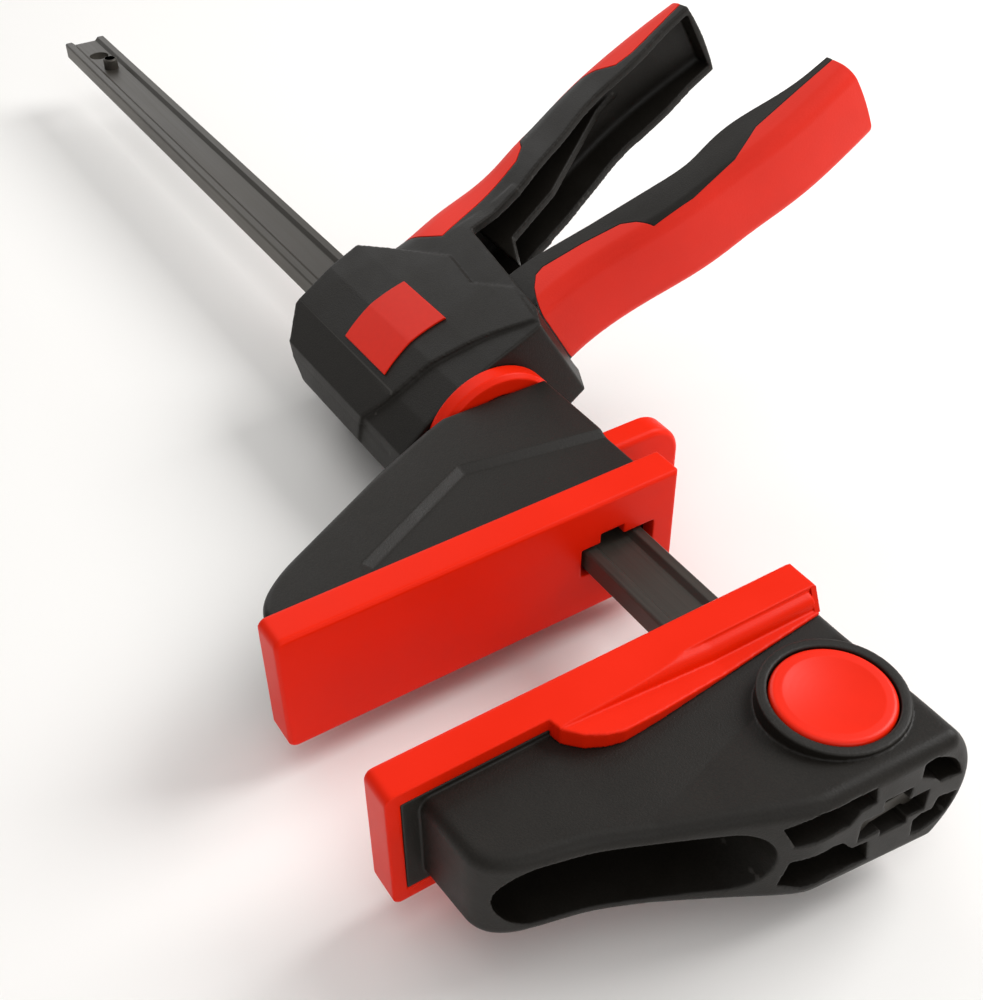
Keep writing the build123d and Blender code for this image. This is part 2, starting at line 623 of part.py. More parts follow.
lever = trigger_form(0, 0, 0) & (end_dome(trigger_end, -2) + reach(20, trigger_end / 2))
soft_zone = side_slab(wide, (-17, 31), (6, 31), (15, 36), (18.2, 39), (18.6, 42), (14.6, 54), (10, 64.5),
                      (6.5, 67.5), (1.6, 69.6), (-1.1, 82), (-1.8, 97), (0, 103), (1.6, 108), (1.0, 122),
                      (0, 140), (-17, 140))
trigger_grip = (lever - trigger_form(soft_skin, soft_skin, -1)) & soft_zone
lever_hollow = trigger_form(lever_wall, lever_wall, -20) & reach(40, trigger_end - 9)
trigger = lever - trigger_grip - lever_hollow

# two arms that straddle the drive collar and hang on the pin
nose = flange_x0 - arm_gap - house_x0
arm_points = hang((pin_x + pin_eye, pin_v), (nose - 1.9, -4), (nose, 0), (nose - 0.4, 2.4), (nose - 2.3, 5.5),
                  (23.2, 12), (24.4, 28), (7.2, 28), (8.2, 15), (11.2, 10.5), (11.8, -4),
                  (pin_x - pin_eye, pin_v), (pin_x, pin_v - pin_eye))
arm_outline = (Polyline(*arm_points[:3]) + ThreePointArc(*arm_points[2:5]) + Polyline(*arm_points[4:12])
               + ThreePointArc(arm_points[11], arm_points[12], arm_points[0]))
trigger += both_flanks(slab(arm_outline, arm_inner, arm_outer))
trigger += side_slab(arm_outer, (7.2, 27), (24.4, 27), (24.4, 28.6), (7.2, 28.6))
trigger -= rod_z(pin_r + pin_play, -arm_outer - 1, arm_outer + 1, house_x0 + pin_x, -pin_v)
part_file(roll(trigger), "trigger")
part_file(roll(trigger_grip), "trigger_grip")

# Drive: flanged collar, drive plates, return springs
drive_collar = rod_x(collar_r, collar_x0, flange_x1) + rod_x(flange_r, flange_x0, flange_x1)
drive_collar -= bar_window(collar_x0 - 1, flange_x1 + 1, drive_play)
part_file(drive_collar, "drive_collar")

drive_plates = []
pitch = drive_plate_thick + drive_plate_gap
for i in range(drive_plate_count):
    x_a = flange_x1 + drive_plate_gap / 2 + i * pitch
    plate = rod_x(flange_r, x_a, x_a + drive_plate_thick)
    drive_plates.append(plate - bar_window(x_a - 1, x_a + drive_plate_thick + 1, drive_play))
part_file(Compound(children=drive_plates), "drive_plates")


def sleeve(r, bore, x0, x1):
    """Plain sleeve over the space of a coil spring on the bar."""
    return rod_x(r, x0, x1) - rod_x(bore, x0, x1)


part_file(sleeve(spring_r, spring_bore, flange_x1 + drive_plate_count * pitch, inner_x1 - spring_gap),
          "drive_spring")
part_file(sleeve(brake_spring_r, brake_spring_bore, plate_x + stack / 2 + spring_gap, brake_x1), "brake_spring")
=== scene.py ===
"""Looks of a one-handed trigger bar clamp with a swivelling pistol grip, over its CAD frame.

The clamp lies on its side.  +X runs along the bar, +Y points to the jaw tips and +Z is up.
"""
import json
import math

import bpy
from mathutils import Matrix, Vector


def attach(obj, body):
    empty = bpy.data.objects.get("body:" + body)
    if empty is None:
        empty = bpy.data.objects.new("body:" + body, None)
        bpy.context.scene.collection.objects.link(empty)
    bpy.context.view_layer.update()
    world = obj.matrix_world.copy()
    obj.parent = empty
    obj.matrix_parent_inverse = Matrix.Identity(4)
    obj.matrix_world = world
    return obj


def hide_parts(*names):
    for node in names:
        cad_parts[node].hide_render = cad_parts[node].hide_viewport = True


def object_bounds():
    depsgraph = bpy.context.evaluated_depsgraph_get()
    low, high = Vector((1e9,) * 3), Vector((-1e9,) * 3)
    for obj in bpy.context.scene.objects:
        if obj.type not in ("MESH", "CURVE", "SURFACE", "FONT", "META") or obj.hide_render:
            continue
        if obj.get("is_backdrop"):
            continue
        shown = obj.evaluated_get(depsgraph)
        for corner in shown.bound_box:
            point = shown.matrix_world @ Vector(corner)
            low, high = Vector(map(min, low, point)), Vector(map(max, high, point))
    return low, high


bl_info = {
    "name": "Trigger bar clamp",
    "version": (1, 0, 0),
    "blender": (4, 5, 0),
    "location": "View3D > Sidebar > Clamp",
    "description": "Dresses a one-handed bar clamp: mouldings, pads, soft grips, bar and stage",
    "category": "Object",
}

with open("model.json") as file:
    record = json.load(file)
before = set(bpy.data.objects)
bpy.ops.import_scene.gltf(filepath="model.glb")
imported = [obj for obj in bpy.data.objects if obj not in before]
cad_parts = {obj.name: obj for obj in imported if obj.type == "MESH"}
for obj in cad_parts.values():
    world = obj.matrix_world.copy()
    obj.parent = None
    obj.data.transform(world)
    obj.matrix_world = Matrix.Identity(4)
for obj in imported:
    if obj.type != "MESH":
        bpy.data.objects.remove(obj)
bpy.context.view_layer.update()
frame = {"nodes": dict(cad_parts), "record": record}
bodies = frame["record"]["behaviour"]["bodies"]
body_of_node = {node: body for body, nodes in bodies.items() for node in nodes}
slot_of_node = {part["node"]: part["material_slot"] for part in frame["record"]["subparts"]}

bar_half_width = 0.0085
# the handle is drawn this far off the plane of the jaws
handle_roll = math.radians(30.0)

# Meshes, in metres and radians
triangle_limit = 190000
cad_merge_gap = 0.000002
facet_merge_gap = 0.00005
flat_angle = 0.01
sharp_angle = 0.5
edge_steps = 3
octree_fill = 0.98
relax_factor = 0.5

# Blocks that close the hollow between the fixed pad and its lips: centre, size and tilt on the
# upper flank.  The first slopes from the pad to the lip, and the second fills the corner behind it.
pad_end_blocks = (
    ((-0.01, -0.0174, 0.01394), (0.0058, 0.0012, 0.003), -0.736),
    ((-0.0106, -0.0168, 0.0127), (0.0036, 0.0018, 0.0008), 0.0),
)
pad_end_swing = -0.4
# Skin behind the bevelled heel of the handle's front band, on the upper flank of the hanging handle
heel_skin_centre = (0.1107, 0.02359, 0.01254)
heel_skin_size = (0.0174, 0.0059, 0.0013)
heel_bevel_angle = math.radians(51.34)

# Stage: place, width in metres and watts of each softbox
softboxes = {
    "key_softbox": ((-0.05, -0.95, 0.85), 0.75, 13.0),
    "overhead_softbox": ((-0.2, 0.15, 1.3), 1.0, 3.0),
    "rear_softbox": ((1.8, -0.1, 1.0), 1.4, 10.0),
    "side_softbox": ((-1.1, 0.1, 0.6), 0.8, 3.0),
}
lamp_aim = Vector((0.06, 0.0, 0.0))
air_strength = 0.38
floor_width = 12.0
floor_centre = (0.1, 0.0)
floor_gap = 0.0005

# The camera that took the photo
camera_place = (-0.152467, 0.154058, 0.222549)
camera_right = (-0.53459, -0.84505, -0.01058)
camera_ahead = (0.64914, -0.40257, -0.64541)
camera_lens_mm = 48.34
camera_film_mm = 36.0
camera_nearest = 0.01


def linear(hex_colour):
    """sRGB hex value as a linear colour."""
    channels = [int(hex_colour[i:i + 2], 16) / 255 for i in (1, 3, 5)]
    return [c / 12.92 if c <= 0.04045 else ((c + 0.055) / 1.055) ** 2.4 for c in channels]


def per_mm(size):
    """Texture scale that gives features of about this size in millimetres."""
    return 1000.0 / size


class ClampSizes(bpy.types.PropertyGroup):
    """Sizes of the finish"""
    large_depth: bpy.props.IntProperty(
        name="Large mouldings", description="Mesh depth of jaws and pads: cells of about 0.45 mm",
        default=8, min=5, max=9)
    handle_voxel: bpy.props.FloatProperty(
        name="Handle mesh", description="Mesh size of the handle moulding",
        default=0.00038, min=0.0003, max=0.002, unit="LENGTH", precision=5)
    small_depth: bpy.props.IntProperty(
        name="Small mouldings",
        description="Mesh depth of ring, release, button and cover: cells of about 0.3 mm",
        default=7, min=5, max=9)
    metal_bevel: bpy.props.FloatProperty(
        name="Metal edge", description="Broken edge of the metal parts",
        default=0.00025, min=0.0, max=0.001, unit="LENGTH", precision=5)
    inlay_bevel: bpy.props.FloatProperty(
        name="Handle inlay edge", description="Broken edge of the grip's inlay and of the badge",
        default=0.0002, min=0.0, max=0.001, unit="LENGTH", precision=5)
    lever_bevel: bpy.props.FloatProperty(
        name="Trigger edge", description="Broken edge of the trigger lever",
        default=0.0003, min=0.0, max=0.001, unit="LENGTH", precision=5)
    lever_inlay_bevel: bpy.props.FloatProperty(
        name="Trigger inlay edge", description="Broken edge of the trigger's inlay",
        default=0.00025, min=0.0, max=0.001, unit="LENGTH", precision=5)


class ClampColours(bpy.types.PropertyGroup):
    """Colours of the finishes"""
    nylon_black: bpy.props.FloatVectorProperty(
        name="Nylon", description="Glass-filled nylon of jaws and handle", subtype="COLOR",
        default=linear("#1A1713"), min=0, max=1)
    red_plastic: bpy.props.FloatVectorProperty(
        name="Red plastic", description="Pads, ring, release, lock button and badge",
        subtype="COLOR", default=linear("#E82203"), min=0, max=1)
    red_rubber: bpy.props.FloatVectorProperty(
        name="Red grip", description="Soft inlays of grip and trigger", subtype="COLOR",
        default=linear("#EC260C"), min=0, max=1)
    bar_steel: bpy.props.FloatVectorProperty(
        name="Bar", description="Blackened steel of the bar", subtype="COLOR",
        default=linear("#3B3731"), min=0, max=1)
    floor_tone: bpy.props.FloatVectorProperty(
        name="Floor", description="Pale studio floor", subtype="COLOR",
        default=linear("#F7F5F2"), min=0, max=1)


def sizes():
    """The sizes that the panel shows."""
    return bpy.context.scene.clamp_sizes


def colours():
    """The colours that the panel shows."""
    return bpy.context.scene.clamp_colours


# Materials

def add_node(tree, kind, settings=None, links=None):
    """Adds a shader node, with its sockets and properties set and its inputs linked."""
    node = tree.nodes.new(kind)
    for key, value in (settings or {}).items():
        if isinstance(key, int) or key in node.inputs:
            node.inputs[key].default_value = value
        else:
            setattr(node, key, value)
    for key, source in (links or {}).items():
        tree.links.new(source, node.inputs[key])
    return node


def blank_material(name):
    """A new material without nodes, and its node tree."""
    material = bpy.data.materials.new(name)
    material.use_nodes = True
    material.node_tree.nodes.clear()
    return material, material.node_tree


def shade(colour, factor):
    """The colour, lighter or darker, as a node value."""
    return [min(1.0, c * factor) for c in colour] + [1.0]


def solid(hex_colour):
    """An sRGB hex value as a node value."""
    return linear(hex_colour) + [1.0]


def glass_filled_nylon():
    """Polyamide 6 with glass fibre, moulded against a spark-eroded steel surface: a dull, slightly
    cloudy charcoal, with a painted highlight that makes its rounded edges a little paler."""
    material, tree = blank_material("glass_filled_nylon")
    base = colours().nylon_black
    place = add_node(tree, "ShaderNodeTexCoord").outputs["Object"]
    cloud = add_node(tree, "ShaderNodeTexNoise",
                     {"Scale": per_mm(14), "Detail": 4.0, "Roughness": 0.6},
                     {"Vector": place}).outputs["Fac"]
    # the real grit is 0.1 mm, drawn at 0.45 mm so that it shows
    grit = add_node(tree, "ShaderNodeTexNoise",
                    {"Scale": per_mm(0.45), "Detail": 2.0, "Roughness": 0.7},
                    {"Vector": place}).outputs["Fac"]
    tone = add_node(tree, "ShaderNodeMix",
                    {"data_type": "RGBA", 6: shade(base, 0.82), 7: shade(base, 1.25)},
                    {0: cloud}).outputs[2]
    speck = add_node(tree, "ShaderNodeMapRange",
                     {"From Min": 0.35, "From Max": 0.7, "To Min": 0.8, "To Max": 1.3},
                     {"Value": grit}).outputs[0]
    toned = add_node(tree, "ShaderNodeMix",
                     {"data_type": "RGBA", "blend_type": "MULTIPLY", 0: 1.0},
                     {6: tone, 7: speck}).outputs[2]
    # a flat face has a pointiness of 0.5, and the rounded edges more
    bend = add_node(tree, "ShaderNodeNewGeometry").outputs["Pointiness"]
    edge = add_node(tree, "ShaderNodeMapRange",
                    {"From Min": 0.52, "From Max": 0.62, "To Min": 0.0, "To Max": 0.3},
                    {"Value": bend}).outputs[0]
    # painted highlight: the rounded edges are mixed towards a paler grey
    paler_edges = add_node(tree, "ShaderNodeMix", {"data_type": "RGBA", 7: solid("#5B5854")},
                    {0: edge, 6: toned}).outputs[2]
    dull = add_node(tree, "ShaderNodeMapRange",
                    {"From Min": 0.3, "From Max": 0.7, "To Min": 0.42, "To Max": 0.54},
                    {"Value": cloud}).outputs[0]
    bump = add_node(tree, "ShaderNodeBump", {"Strength": 0.6, "Distance": 0.0001},
                    {"Height": grit}).outputs[0]
    shader = add_node(tree, "ShaderNodeBsdfPrincipled", {"IOR": 1.53, "Specular IOR Level": 0.22},
                      {"Base Color": paler_edges, "Roughness": dull, "Normal": bump})
    add_node(tree, "ShaderNodeOutputMaterial", {}, {"Surface": shader.outputs[0]})
    return material


def red_polypropylene():
    """Tough red polypropylene of pads, ring and release, moulded satin: an even warm red with a
    faint waviness from the cooling wall and a soft sheen."""
    material, tree = blank_material("red_polypropylene")
    base = colours().red_plastic
    place = add_node(tree, "ShaderNodeTexCoord").outputs["Object"]
    wave = add_node(tree, "ShaderNodeTexNoise", {"Scale": per_mm(22), "Detail": 2.0},
                    {"Vector": place}).outputs["Fac"]
    # the mould's fine polish marks, drawn at 0.6 mm so that they show
    skin = add_node(tree, "ShaderNodeTexNoise", {"Scale": per_mm(0.6), "Detail": 2.0},
                    {"Vector": place}).outputs["Fac"]
    tone = add_node(tree, "ShaderNodeMix",
                    {"data_type": "RGBA", 6: shade(base, 0.93), 7: shade(base, 1.05)},
                    {0: wave}).outputs[2]
    dull = add_node(tree, "ShaderNodeMapRange",
                    {"From Min": 0.3, "From Max": 0.7, "To Min": 0.34, "To Max": 0.46},
                    {"Value": wave}).outputs[0]
    bump = add_node(tree, "ShaderNodeBump", {"Strength": 0.25, "Distance": 0.00005},
                    {"Height": skin}).outputs[0]
    shader = add_node(tree, "ShaderNodeBsdfPrincipled", {"IOR": 1.49, "Specular IOR Level": 0.12},
                      {"Base Color": tone, "Roughness": dull, "Normal": bump})
    add_node(tree, "ShaderNodeOutputMaterial", {}, {"Surface": shader.outputs[0]})
    return material


def polished_red_nylon():
    """Red nylon moulded in a polished cavity, for the lock button: a little brighter and smoother
    than the pads, with a soft highlight along its rolled edge."""
    material, tree = blank_material("polished_red_nylon")
    base = colours().red_plastic
    place = add_node(tree, "ShaderNodeTexCoord").outputs["Object"]
    wave = add_node(tree, "ShaderNodeTexNoise", {"Scale": per_mm(9), "Detail": 2.0},
                    {"Vector": place}).outputs["Fac"]
    tone = add_node(tree, "ShaderNodeMix",
                    {"data_type": "RGBA", 6: shade(base, 0.97), 7: shade(base, 1.1)},
                    {0: wave}).outputs[2]
    bump = add_node(tree, "ShaderNodeBump", {"Strength": 0.1, "Distance": 0.0001},
                    {"Height": wave}).outputs[0]
    shader = add_node(tree, "ShaderNodeBsdfPrincipled",
                      {"IOR": 1.53, "Roughness": 0.34, "Specular IOR Level": 0.2},
                      {"Base Color": tone, "Normal": bump})
    add_node(tree, "ShaderNodeOutputMaterial", {}, {"Surface": shader.outputs[0]})
    return material


def soft_grip_elastomer():
    """Thermoplastic elastomer overmoulded on grip and trigger, with a fine matt grain: a dull,
    slightly dusty red that takes no sharp highlight."""
    material, tree = blank_material("soft_grip_elastomer")
    base = colours().red_rubber
    place = add_node(tree, "ShaderNodeTexCoord").outputs["Object"]
    cloud = add_node(tree, "ShaderNodeTexNoise", {"Scale": per_mm(18), "Detail": 3.0},
                     {"Vector": place}).outputs["Fac"]
    # the real grain is 0.15 mm, drawn at 0.5 mm so that it shows
    grain = add_node(tree, "ShaderNodeTexVoronoi", {"Scale": per_mm(0.5)},
                     {"Vector": place}).outputs["Distance"]
    tone = add_node(tree, "ShaderNodeMix",
                    {"data_type": "RGBA", 6: shade(base, 0.9), 7: shade(base, 1.06)},
                    {0: cloud}).outputs[2]
    bump = add_node(tree, "ShaderNodeBump", {"Strength": 0.4, "Distance": 0.00006},
                    {"Height": grain}).outputs[0]
    shader = add_node(tree, "ShaderNodeBsdfPrincipled",
                      {"IOR": 1.5, "Roughness": 0.58, "Specular IOR Level": 0.3,
                       "Sheen Weight": 0.03, "Sheen Roughness": 0.5},
                      {"Base Color": tone, "Normal": bump})
    add_node(tree, "ShaderNodeOutputMaterial", {}, {"Surface": shader.outputs[0]})
    return material


def enamelled_badge():
    """Thin aluminium badge, stove-enamelled red and left without print: smooth and even, a little
    cleaner than the plastics round it."""
    material, tree = blank_material("enamelled_badge")
    base = colours().red_plastic
    place = add_node(tree, "ShaderNodeTexCoord").outputs["Object"]
    peel = add_node(tree, "ShaderNodeTexNoise", {"Scale": per_mm(1.6), "Detail": 2.0},
                    {"Vector": place}).outputs["Fac"]
    tone = add_node(tree, "ShaderNodeMix",
                    {"data_type": "RGBA", 6: shade(base, 0.84), 7: shade(base, 0.92)},
                    {0: peel}).outputs[2]
    bump = add_node(tree, "ShaderNodeBump", {"Strength": 0.12, "Distance": 0.00005},
                    {"Height": peel}).outputs[0]
    shader = add_node(tree, "ShaderNodeBsdfPrincipled",
                      {"IOR": 1.5, "Roughness": 0.42, "Specular IOR Level": 0.22},
                      {"Base Color": tone, "Normal": bump})
    add_node(tree, "ShaderNodeOutputMaterial", {}, {"Surface": shader.outputs[0]})
    return material


def blackened_steel():
    """Rolled bar steel, chemically blackened and oiled: dark grey with a silky sheen, fine drawing
    lines along the bar, and paler metal where the jaw has rubbed the edges."""
    material, tree = blank_material("blackened_steel")
    base = colours().bar_steel
    place = add_node(tree, "ShaderNodeTexCoord").outputs["Object"]
    # drawing lines of 0.35 mm across, stretched to 60 mm along the bar
    stretch = 170
    along = add_node(tree, "ShaderNodeMapping", {"Scale": (1 / stretch, 1.0, 1.0)},
                     {"Vector": place}).outputs[0]
    lines = add_node(tree, "ShaderNodeTexNoise", {"Scale": per_mm(0.35), "Detail": 3.0},
                     {"Vector": along}).outputs["Fac"]
    cloud = add_node(tree, "ShaderNodeTexNoise", {"Scale": per_mm(30), "Detail": 4.0},
                     {"Vector": place}).outputs["Fac"]
    tone = add_node(tree, "ShaderNodeMix",
                    {"data_type": "RGBA", 6: shade(base, 0.8), 7: shade(base, 1.15)},
                    {0: cloud}).outputs[2]
    lined = add_node(tree, "ShaderNodeMapRange",
                     {"From Min": 0.3, "From Max": 0.7, "To Min": 0.85, "To Max": 1.15},
                     {"Value": lines}).outputs[0]
    drawn = add_node(tree, "ShaderNodeMix",
                     {"data_type": "RGBA", "blend_type": "MULTIPLY", 0: 1.0},
                     {6: tone, 7: lined}).outputs[2]
    # the jaw rubs the last 0.6 mm of the bar's width, on both edges
    rubbed_width = 0.0006
    across = add_node(tree, "ShaderNodeSeparateXYZ", {}, {0: place}).outputs["Y"]
    side = add_node(tree, "ShaderNodeMath", {"operation": "ABSOLUTE"}, {0: across}).outputs[0]
    edge = add_node(tree, "ShaderNodeMapRange",
                    {"From Min": bar_half_width - rubbed_width, "From Max": bar_half_width,
                     "To Min": 0.0, "To Max": 0.5},
                    {"Value": side}).outputs[0]
    paler_edges = add_node(tree, "ShaderNodeMath", {"operation": "MULTIPLY"},
                    {0: edge, 1: cloud}).outputs[0]
    rubbed = add_node(tree, "ShaderNodeMix", {"data_type": "RGBA", 7: solid("#7A756C")},
                      {0: paler_edges, 6: drawn}).outputs[2]
    dull = add_node(tree, "ShaderNodeMapRange",
                    {"From Min": 0.3, "From Max": 0.7, "To Min": 0.4, "To Max": 0.52},
                    {"Value": lines}).outputs[0]
    bump = add_node(tree, "ShaderNodeBump", {"Strength": 0.2, "Distance": 0.00003},
                    {"Height": lines}).outputs[0]
    shader = add_node(tree, "ShaderNodeBsdfPrincipled", {"Metallic": 0.35},
                      {"Base Color": rubbed, "Roughness": dull, "Normal": bump})
    add_node(tree, "ShaderNodeOutputMaterial", {}, {"Surface": shader.outputs[0]})
    return material


def zinc_plated_steel():
    """Pressed and turned steel, zinc plated and clear passivated: a cool grey metal with cloudy
    blue-grey patches."""
    material, tree = blank_material("zinc_plated_steel")
    place = add_node(tree, "ShaderNodeTexCoord").outputs["Object"]
    cloud = add_node(tree, "ShaderNodeTexNoise", {"Scale": per_mm(5), "Detail": 4.0},
                     {"Vector": place}).outputs["Fac"]
    tone = add_node(tree, "ShaderNodeMix",
                    {"data_type": "RGBA", 6: solid("#A7ACB0"), 7: solid("#C9CBC8")},
                    {0: cloud}).outputs[2]
    dull = add_node(tree, "ShaderNodeMapRange",
                    {"From Min": 0.3, "From Max": 0.7, "To Min": 0.28, "To Max": 0.42},
                    {"Value": cloud}).outputs[0]
    shader = add_node(tree, "ShaderNodeBsdfPrincipled", {"Metallic": 1.0},
                      {"Base Color": tone, "Roughness": dull})
    add_node(tree, "ShaderNodeOutputMaterial", {}, {"Surface": shader.outputs[0]})
    return material


def oiled_spring_steel():
    """Oil-hardened spring steel: dark blue-grey metal under a film of oil."""
    material, tree = blank_material("oiled_spring_steel")
    place = add_node(tree, "ShaderNodeTexCoord").outputs["Object"]
    film = add_node(tree, "ShaderNodeTexNoise", {"Scale": per_mm(3), "Detail": 3.0},
                    {"Vector": place}).outputs["Fac"]
    tone = add_node(tree, "ShaderNodeMix",
                    {"data_type": "RGBA", 6: solid("#57595C"), 7: solid("#7D7C78")},
                    {0: film}).outputs[2]
    shader = add_node(tree, "ShaderNodeBsdfPrincipled", {"Metallic": 1.0, "Roughness": 0.35},
                      {"Base Color": tone})
    add_node(tree, "ShaderNodeOutputMaterial", {}, {"Surface": shader.outputs[0]})
    return material


finishes = {
    "black_nylon": glass_filled_nylon,
    "red_pad_plastic": red_polypropylene,
    "red_nylon": red_polypropylene,
    "red_soft_grip": soft_grip_elastomer,
    "red_badge": enamelled_badge,
    "blackened_bar_steel": blackened_steel,
    "zinc_plated_steel": zinc_plated_steel,
    "spring_steel": oiled_spring_steel,
}
made_materials = {}


def finish_of(maker):
    """The material of this maker function, made on its first use."""
    if maker not in made_materials:
        made_materials[maker] = maker()
    return made_materials[maker]


def dress(piece, maker):
    """Gives the piece one material all over."""
    piece.data.materials.clear()
    piece.data.materials.append(finish_of(maker))


# Pieces

def rolled(place):
    """Turns a place in the hanging handle into the drawn position of the handle."""
    return Matrix.Rotation(-handle_roll, 3, "X") @ place


def choose(piece):
    """Selects this object alone and makes it active."""
    bpy.ops.object.select_all(action="DESELECT")
    piece.select_set(True)
    bpy.context.view_layer.objects.active = piece


def stand_in(node, name, maker=None):
    """A merged copy of a CAD node that rides where the node rides and is shown instead of it."""
    source = frame["nodes"][node]
    piece = bpy.data.objects.new(name, source.data.copy())
    bpy.context.scene.collection.objects.link(piece)
    choose(piece)
    bpy.ops.object.mode_set(mode="EDIT")
    bpy.ops.mesh.select_all(action="SELECT")
    bpy.ops.mesh.remove_doubles(threshold=cad_merge_gap)
    bpy.ops.object.mode_set(mode="OBJECT")
    if piece.data.has_custom_normals:
        bpy.ops.mesh.customdata_custom_splitnormals_clear()
    dress(piece, maker or finishes[slot_of_node[node]])
    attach(piece, body_of_node[node])
    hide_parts(node)
    return piece


def apply_all(piece):
    """Applies the piece's modifiers in their order."""
    choose(piece)
    for modifier in list(piece.modifiers):
        bpy.ops.object.modifier_apply(modifier=modifier.name)


def soften(piece, passes, depth=0, voxel=0.0):
    """Remeshes the piece evenly and relaxes it in so many passes, which rounds its edges as a
    mould's edges are, and then thins out the flat faces.  An octree depth keeps edges that lie
    square to the axes straight.  A voxel size suits a tilted piece, and fuses the blocks joined
    to it."""
    remesh = piece.modifiers.new("even mesh", "REMESH")
    if depth:
        remesh.mode = "SHARP"
        remesh.octree_depth = depth
        remesh.scale = octree_fill
        remesh.use_remove_disconnected = False
    else:
        remesh.mode = "VOXEL"
        remesh.voxel_size = voxel
    relax = piece.modifiers.new("relax", "SMOOTH")
    relax.factor = relax_factor
    relax.iterations = passes
    apply_all(piece)
    triangles = 2 * len(piece.data.polygons)
    if triangles > triangle_limit:
        thin = piece.modifiers.new("thin out", "DECIMATE")
        thin.ratio = triangle_limit / triangles
        apply_all(piece)
    bpy.ops.object.shade_smooth()


def break_edges(piece, width):
    """Merges the facets of flat faces, then bevels the sharp edges and shades the rest smooth."""
    choose(piece)
    bpy.ops.object.mode_set(mode="EDIT")
    bpy.ops.mesh.select_all(action="SELECT")
    bpy.ops.mesh.remove_doubles(threshold=facet_merge_gap)
    bpy.ops.mesh.dissolve_limited(angle_limit=flat_angle)
    bpy.ops.object.mode_set(mode="OBJECT")
    bpy.ops.object.shade_smooth()
    bevel = piece.modifiers.new("edges", "BEVEL")
    bevel.width = width
    bevel.segments = edge_steps
    bevel.limit_method = "ANGLE"
    bevel.angle_limit = sharp_angle
    bevel.use_clamp_overlap = False
    bevel.harden_normals = True
    bevel.miter_outer = "MITER_ARC"
    apply_all(piece)


def add_wall(piece, centre, size, turn):
    """Joins a block of the piece's material to it."""
    bpy.ops.object.select_all(action="DESELECT")
    bpy.ops.mesh.primitive_cube_add(size=1.0, location=centre, rotation=turn, scale=size)
    wall = bpy.context.active_object
    bpy.ops.object.transform_apply(location=True, rotation=True, scale=True)
    wall.data.materials.append(piece.data.materials[0])
    piece.select_set(True)
    bpy.context.view_layer.objects.active = piece
    bpy.ops.object.join()


class CLAMP_OT_bar(bpy.types.Operator):
    """Bar and its stop pin"""
    bl_idname = "clamp.bar"
    bl_label = "Bar"

    def execute(self, context):
        break_edges(stand_in("rail", "bar_steel"), sizes().metal_bevel)
        break_edges(stand_in("stop_pin", "stop_spring_pin", blackened_steel), sizes().metal_bevel)
        return {"FINISHED"}


class CLAMP_OT_fixed_jaw(bpy.types.Operator):
    """Fixed jaw moulding with its pad and the cover of its lock"""
    bl_idname = "clamp.fixed_jaw"
    bl_label = "Fixed jaw"

    def execute(self, context):
        soften(stand_in("fixed_jaw", "fixed_jaw_moulding"), passes=3, depth=sizes().large_depth)
        pad = stand_in("fixed_pad", "fixed_jaw_pad")
        soften(pad, passes=4, depth=sizes().large_depth)
        for flank in (1, -1):
            for (x, y, z), size, tilt in pad_end_blocks:
                add_wall(pad, (x, y, flank * z), size, (0.0, flank * tilt, pad_end_swing))
        soften(stand_in("lock_cover", "lock_cover_cap"), passes=2, depth=sizes().small_depth)
        return {"FINISHED"}


class CLAMP_OT_jaw_lock(bpy.types.Operator):
    """Lock button, latch and spring"""
    bl_idname = "clamp.jaw_lock"
    bl_label = "Jaw lock"

    def execute(self, context):
        button = stand_in("lock_button", "lock_push_button", polished_red_nylon)
        soften(button, passes=3, depth=sizes().small_depth)
        break_edges(stand_in("lock_latch", "lock_latch_plate"), sizes().metal_bevel)
        dress(frame["nodes"]["lock_spring"], oiled_spring_steel)
        return {"FINISHED"}


class CLAMP_OT_sliding_jaw(bpy.types.Operator):
    """Sliding jaw moulding and its pad"""
    bl_idname = "clamp.sliding_jaw"
    bl_label = "Sliding jaw"

    def execute(self, context):
        soften(stand_in("sliding_jaw", "sliding_jaw_moulding"), passes=3, depth=sizes().large_depth)
        soften(stand_in("sliding_pad", "sliding_jaw_pad"), passes=4, depth=sizes().large_depth)
        return {"FINISHED"}


class CLAMP_OT_release(bpy.types.Operator):
    """Finger release with its brake plates and spring"""
    bl_idname = "clamp.release"
    bl_label = "Release"

    def execute(self, context):
        tab = stand_in("release_slider", "release_finger_tab")
        soften(tab, passes=4, depth=sizes().small_depth)
        break_edges(stand_in("brake_plates", "brake_plate_pack"), sizes().metal_bevel)
        dress(frame["nodes"]["brake_spring"], oiled_spring_steel)
        return {"FINISHED"}


class CLAMP_OT_swivel(bpy.types.Operator):
    """Red ring and the spring ring of the swivel"""
    bl_idname = "clamp.swivel"
    bl_label = "Swivel"

    def execute(self, context):
        soften(stand_in("swivel_ring", "swivel_collar"), passes=3, depth=sizes().small_depth)
        dress(frame["nodes"]["retaining_ring"], oiled_spring_steel)
        return {"FINISHED"}


class CLAMP_OT_handle(bpy.types.Operator):
    """Handle moulding, its soft inlay, the badge and the trigger's pin"""
    bl_idname = "clamp.handle"
    bl_label = "Handle"

    def execute(self, context):
        body = stand_in("handle_body", "handle_moulding")
        x, y, z = heel_skin_centre
        for flank in (1, -1):
            add_wall(body, rolled(Vector((x, y, flank * z))), heel_skin_size,
                     (-handle_roll - flank * heel_bevel_angle, 0.0, 0.0))
        soften(body, passes=6, voxel=sizes().handle_voxel)
        break_edges(stand_in("handle_grip", "handle_soft_inlay"), sizes().inlay_bevel)
        break_edges(stand_in("badge", "plain_badge"), sizes().inlay_bevel)
        dress(frame["nodes"]["trigger_pin"], zinc_plated_steel)
        return {"FINISHED"}


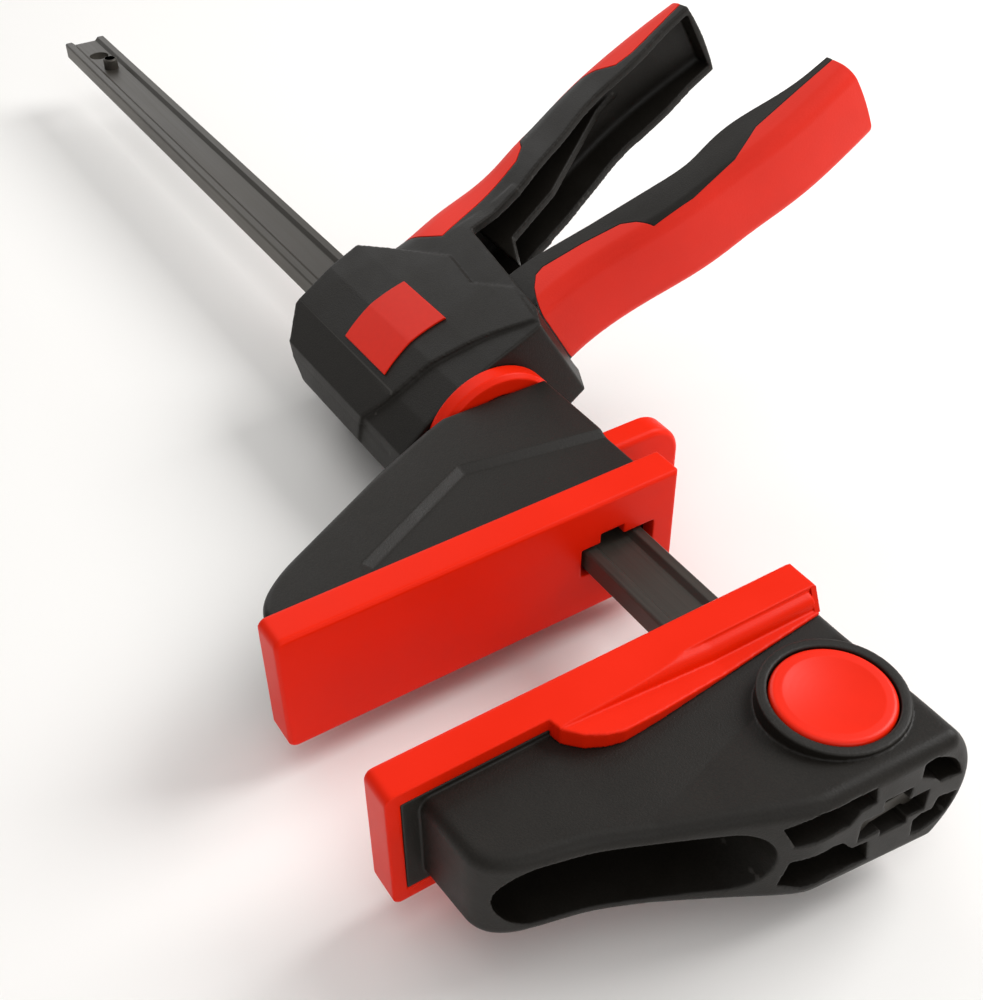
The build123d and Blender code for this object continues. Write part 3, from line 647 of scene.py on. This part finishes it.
class CLAMP_OT_trigger(bpy.types.Operator):
    """Trigger lever and its soft inlay"""
    bl_idname = "clamp.trigger"
    bl_label = "Trigger"

    def execute(self, context):
        break_edges(stand_in("trigger", "trigger_moulding"), sizes().lever_bevel)
        break_edges(stand_in("trigger_grip", "trigger_soft_inlay"), sizes().lever_inlay_bevel)
        return {"FINISHED"}


class CLAMP_OT_drive(bpy.types.Operator):
    """Drive collar, drive plates and their spring inside the handle"""
    bl_idname = "clamp.drive"
    bl_label = "Drive"

    def execute(self, context):
        break_edges(stand_in("drive_collar", "drive_collar_steel"), sizes().metal_bevel)
        break_edges(stand_in("drive_plates", "drive_plate_pack"), sizes().metal_bevel)
        dress(frame["nodes"]["drive_spring"], oiled_spring_steel)
        return {"FINISHED"}


class CLAMP_OT_stage(bpy.types.Operator):
    """Pale floor, soft studio light and the camera"""
    bl_idname = "clamp.stage"
    bl_label = "Stage"

    def execute(self, context):
        scene = context.scene
        floor_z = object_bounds()[0][2] - floor_gap
        bpy.ops.object.select_all(action="DESELECT")
        bpy.ops.mesh.primitive_plane_add(size=floor_width, location=(*floor_centre, floor_z))
        floor = context.active_object
        floor.name = "studio_floor"
        material, tree = blank_material("matt_studio_floor")
        shader = add_node(tree, "ShaderNodeBsdfDiffuse",
                          {"Color": list(colours().floor_tone) + [1.0]})
        add_node(tree, "ShaderNodeOutputMaterial", {}, {"Surface": shader.outputs[0]})
        floor.data.materials.append(material)
        floor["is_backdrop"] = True

        world = bpy.data.worlds.new("studio_air")
        scene.world = world
        world.use_nodes = True
        tree = world.node_tree
        tree.nodes.clear()
        air = add_node(tree, "ShaderNodeBackground",
                       {"Color": (1, 1, 1, 1), "Strength": air_strength})
        add_node(tree, "ShaderNodeOutputWorld", {}, {"Surface": air.outputs[0]})

        for name, (place, width, power) in softboxes.items():
            light = bpy.data.lights.new(name, "AREA")
            light.size = width
            light.energy = power
            lamp = bpy.data.objects.new(name, light)
            scene.collection.objects.link(lamp)
            lamp.location = place
            away = Vector(place) - lamp_aim
            lamp.rotation_euler = away.to_track_quat("Z", "Y").to_euler()

        camera = bpy.data.objects.new("photo_camera", bpy.data.cameras.new("photo_camera"))
        scene.collection.objects.link(camera)
        camera.data.sensor_fit = "VERTICAL"
        camera.data.sensor_height = camera_film_mm
        camera.data.lens = camera_lens_mm
        camera.data.clip_start = camera_nearest
        right = Vector(camera_right).normalized()
        ahead = Vector(camera_ahead).normalized()
        up = right.cross(ahead).normalized()
        turn = Matrix((right, up, -ahead)).transposed().to_4x4()
        camera.matrix_world = Matrix.Translation(camera_place) @ turn
        scene.camera = camera
        scene.view_settings.view_transform = "Standard"
        return {"FINISHED"}


class CLAMP_PT_panel(bpy.types.Panel):
    """Lists the clamp's pieces, sizes and colours"""
    bl_idname = "CLAMP_PT_panel"
    bl_label = "Trigger bar clamp"
    bl_space_type = "VIEW_3D"
    bl_region_type = "UI"
    bl_category = "Clamp"

    def draw(self, context):
        for group in (context.scene.clamp_sizes, context.scene.clamp_colours):
            for name in group.__annotations__:
                self.layout.prop(group, name)
        for operator in operators:
            self.layout.operator(operator.bl_idname)


operators = (CLAMP_OT_bar, CLAMP_OT_fixed_jaw, CLAMP_OT_jaw_lock, CLAMP_OT_sliding_jaw,
             CLAMP_OT_release, CLAMP_OT_swivel, CLAMP_OT_handle, CLAMP_OT_trigger,
             CLAMP_OT_drive, CLAMP_OT_stage)
classes = (ClampSizes, ClampColours, *operators, CLAMP_PT_panel)


def register():
    for cls in classes:
        bpy.utils.register_class(cls)
    bpy.types.Scene.clamp_sizes = bpy.props.PointerProperty(type=ClampSizes)
    bpy.types.Scene.clamp_colours = bpy.props.PointerProperty(type=ClampColours)


def unregister():
    del bpy.types.Scene.clamp_colours
    del bpy.types.Scene.clamp_sizes
    for cls in reversed(classes):
        bpy.utils.unregister_class(cls)


def main():
    register()
    bpy.ops.clamp.bar()
    bpy.ops.clamp.fixed_jaw()
    bpy.ops.clamp.jaw_lock()
    bpy.ops.clamp.sliding_jaw()
    bpy.ops.clamp.release()
    bpy.ops.clamp.swivel()
    bpy.ops.clamp.handle()
    bpy.ops.clamp.trigger()
    bpy.ops.clamp.drive()
    bpy.ops.clamp.stage()


if __name__ == "__main__":
    main()
